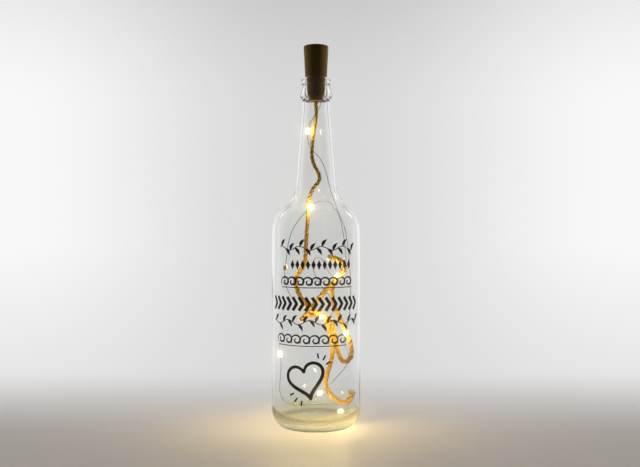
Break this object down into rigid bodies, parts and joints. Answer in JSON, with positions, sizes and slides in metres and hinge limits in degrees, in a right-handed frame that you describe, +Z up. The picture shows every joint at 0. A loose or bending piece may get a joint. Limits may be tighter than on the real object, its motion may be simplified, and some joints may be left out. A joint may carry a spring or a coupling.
{
  "type": "cork bottle light",
  "caption": "Clear glass bottle with a cork-look stopper lamp: cells and a slide switch in the stopper, a jute rope and a string of small warm lights hanging inside.",
  "frame": {"origin": "centre of the standing ring, on the surface that the bottle stands on", "axes": "+Z up along the bottle's axis, -Y towards the printed front, +X to the right seen from the front"},
  "size_m": [0.076, 0.076, 0.3235],
  "materials": {
    "clear_glass": "clear blown glass, glossy",
    "cork_brown": "cork-look moulded stopper, fine speckle, satin",
    "cork_lid": "cork-look moulded lid, satin",
    "carrier_black": "moulded black plastic",
    "cell_steel": "nickel-plated steel can",
    "contact_metal": "plated spring brass",
    "board_green": "glass-fibre board with green mask",
    "resistor_black": "chip resistor",
    "switch_steel": "tinned folded steel",
    "switch_brown": "phenolic base",
    "knob_black": "moulded black plastic, ridged",
    "lead_red": "insulated lead",
    "lead_black": "insulated lead",
    "jute": "laid jute rope, hairy",
    "wire_silver": "bare enamelled wire pair",
    "led_resin": "clear resin drop, lit warm white",
    "led_chip": "yellow phosphor chip"
  },
  "bodies": {
    "bottle": {"glass_bottle": "clear_glass"},
    "stopper": {"cork_shell": "cork_brown", "jute_rope": "jute", "light_wire": "wire_silver", "led_drop_1": "led_resin", "led_drop_2": "led_resin", "led_drop_3": "led_resin", "led_drop_4": "led_resin", "led_drop_5": "led_resin", "led_drop_6": "led_resin", "led_drop_7": "led_resin", "led_drop_8": "led_resin", "led_drop_9": "led_resin", "led_drop_10": "led_resin", "led_chip_1": "led_chip", "led_chip_2": "led_chip", "led_chip_3": "led_chip", "led_chip_4": "led_chip", "led_chip_5": "led_chip", "led_chip_6": "led_chip", "led_chip_7": "led_chip", "led_chip_8": "led_chip", "led_chip_9": "led_chip", "led_chip_10": "led_chip"},
    "core": {"top_lid": "cork_lid", "battery_carrier": "carrier_black", "switch_frame": "switch_steel", "button_cell_1": "cell_steel", "button_cell_2": "cell_steel", "button_cell_3": "cell_steel", "positive_contact": "contact_metal", "negative_contact": "contact_metal", "circuit_board": "board_green", "series_resistor": "resistor_black", "switch_base": "switch_brown", "switch_pins": "contact_metal", "positive_lead": "lead_red", "negative_lead": "lead_black"},
    "knob": {"switch_knob": "knob_black"}
  },
  "joints": [
    {"name": "stopper_lift", "type": "slide", "parent": "bottle", "child": "stopper", "axis": [0, 0, 1], "range_m": [0, 0.3], "deforming": ["jute_rope", "light_wire", "led_drop_1", "led_drop_2", "led_drop_3", "led_drop_4", "led_drop_5", "led_drop_6", "led_drop_7", "led_drop_8", "led_drop_9", "led_drop_10", "led_chip_1", "led_chip_2", "led_chip_3", "led_chip_4", "led_chip_5", "led_chip_6", "led_chip_7", "led_chip_8", "led_chip_9", "led_chip_10"]},
    {"name": "core_pull", "type": "slide", "parent": "stopper", "child": "core", "axis": [0, 0, 1], "range_m": [0, 0.0275], "deforming": ["positive_lead", "negative_lead"]},
    {"name": "switch_slide", "type": "slide", "parent": "core", "child": "knob", "axis": [1, 0, 0], "range_m": [-0.002, 0]}
  ]
}
